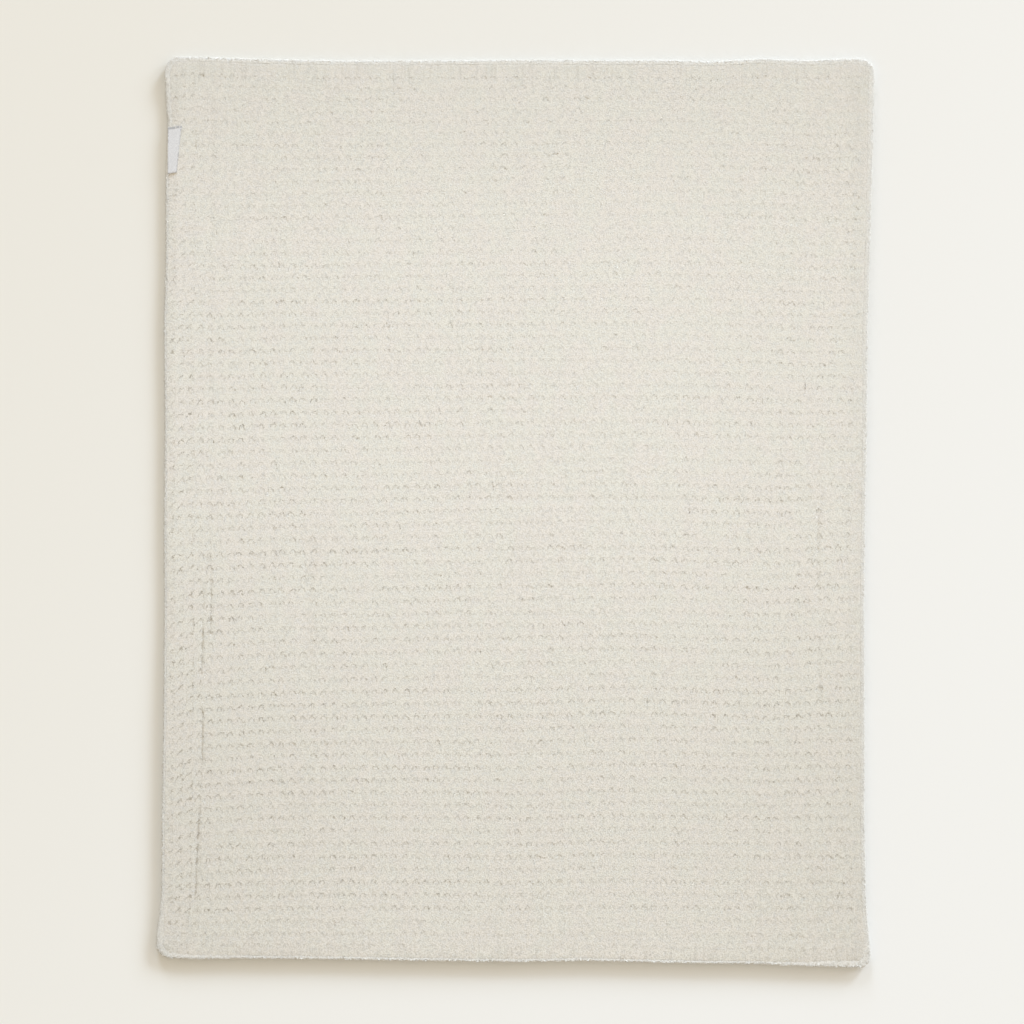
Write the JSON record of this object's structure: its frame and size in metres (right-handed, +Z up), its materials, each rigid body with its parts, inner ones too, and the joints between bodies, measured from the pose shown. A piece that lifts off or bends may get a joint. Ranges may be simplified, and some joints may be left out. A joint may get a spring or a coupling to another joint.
{
  "type": "teddy fleece blanket",
  "caption": "Cot blanket lying flat: a waffle-textured fleece face sewn to a smooth teddy fleece back whose edge rolls up as a narrow rim, with a bare woven label at one side.",
  "frame": {"origin": "on the surface that the blanket lies on, under the middle of its outline", "axes": "+Y along the long side towards the top end, whose corner has the label, +X across it to the right as seen from above, +Z up out of the waffle face"},
  "size_m": [0.7782, 0.9874, 0.0113],
  "materials": {
    "teddy_fleece": "short dense pile, matt, warm off-white",
    "waffle_fleece": "fleecy pile over a waffle of rows and columns, matt, warm off-white",
    "woven_label": "fine satin weave, slight sheen, cool white"
  },
  "bodies": {
    "root": {"back_panel": "teddy_fleece", "face_panel": "waffle_fleece", "label": "woven_label"}
  },
  "joints": []
}
